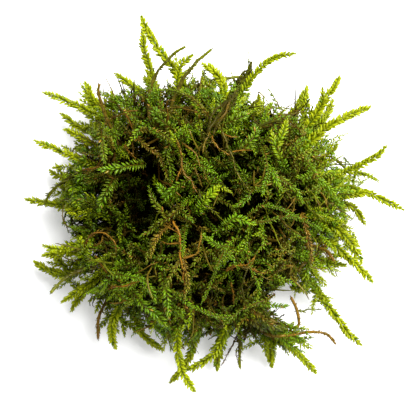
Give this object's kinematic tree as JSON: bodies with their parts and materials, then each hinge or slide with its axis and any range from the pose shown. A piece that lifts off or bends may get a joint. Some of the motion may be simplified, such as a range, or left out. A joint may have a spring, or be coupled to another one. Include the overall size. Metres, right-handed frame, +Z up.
{
  "type": "moss clump",
  "caption": "Loose domed clump of feather moss, flat where it rests, with leafy shoots, bare old stems and dry twigs standing out all round.",
  "frame": {"origin": "under the middle of the clump's box, on the surface that it rests on", "axes": "+Z up; seen from above, +X runs to the clump's fuller, slightly longer side and +Y to the side with the tall spire"},
  "size_m": [0.091, 0.088, 0.0347],
  "materials": {
    "matted_moss": "matte",
    "leafy_moss": "satin",
    "bare_stem": "matte",
    "dry_twig": "matte",
    "stem_bundle": "matte"
  },
  "bodies": {
    "root": {"moss_tangle": "matted_moss", "shoot_north_spire": "leafy_moss", "shoot_north_pale_spire": "leafy_moss", "stem_north_hooked": "bare_stem", "shoot_north_short": "leafy_moss", "stem_north_high": "bare_stem", "shoot_north_bud": "leafy_moss", "stem_north_arched": "bare_stem", "stem_bundle_north": "stem_bundle", "shoot_north_east_arm": "leafy_moss", "shoot_north_inner": "leafy_moss", "shoot_north_east_low": "leafy_moss", "shoot_north_east_high": "leafy_moss", "shoot_north_east_spire": "leafy_moss", "shoot_north_east_under": "leafy_moss", "shoot_north_east_spray": "leafy_moss", "shoot_east_upper": "leafy_moss", "stem_east_arc": "bare_stem", "shoot_east_slender": "leafy_moss", "shoot_east_arm": "leafy_moss", "shoot_east_drooping": "leafy_moss", "shoot_east_straight": "leafy_moss", "shoot_east_lower": "leafy_moss", "shoot_south_east_arm": "leafy_moss", "shoot_south_east_upper": "leafy_moss", "shoot_south_east_inner": "leafy_moss", "twig_south_east_short": "dry_twig", "shoot_south_east_long_arm": "leafy_moss", "twig_south_east_upright": "dry_twig", "twig_south_east_arc": "dry_twig", "shoot_south_east_spray": "leafy_moss", "shoot_south_low": "leafy_moss", "stem_south_straight": "bare_stem", "shoot_south_bud": "leafy_moss", "shoot_south_arched": "leafy_moss", "shoot_south_spire": "leafy_moss", "shoot_south_west_bud": "leafy_moss", "shoot_south_west_low": "leafy_moss", "shoot_south_west_upper": "leafy_moss", "twig_south_west": "dry_twig", "shoot_south_west_outer": "leafy_moss", "shoot_south_west_ridge": "leafy_moss", "stem_west_crossing": "bare_stem", "shoot_west_spray": "leafy_moss", "shoot_west_inner": "leafy_moss", "shoot_west_ridge": "leafy_moss", "shoot_west_arm": "leafy_moss", "stem_west_dark": "bare_stem", "shoot_west_low": "leafy_moss", "shoot_north_west_spray": "leafy_moss", "shoot_north_west_short": "leafy_moss", "shoot_north_west_low": "leafy_moss", "shoot_north_west_arm": "leafy_moss", "shoot_north_west_upright": "leafy_moss", "twig_north_west": "dry_twig", "shoot_north_west_inner": "leafy_moss"}
  },
  "joints": []
}
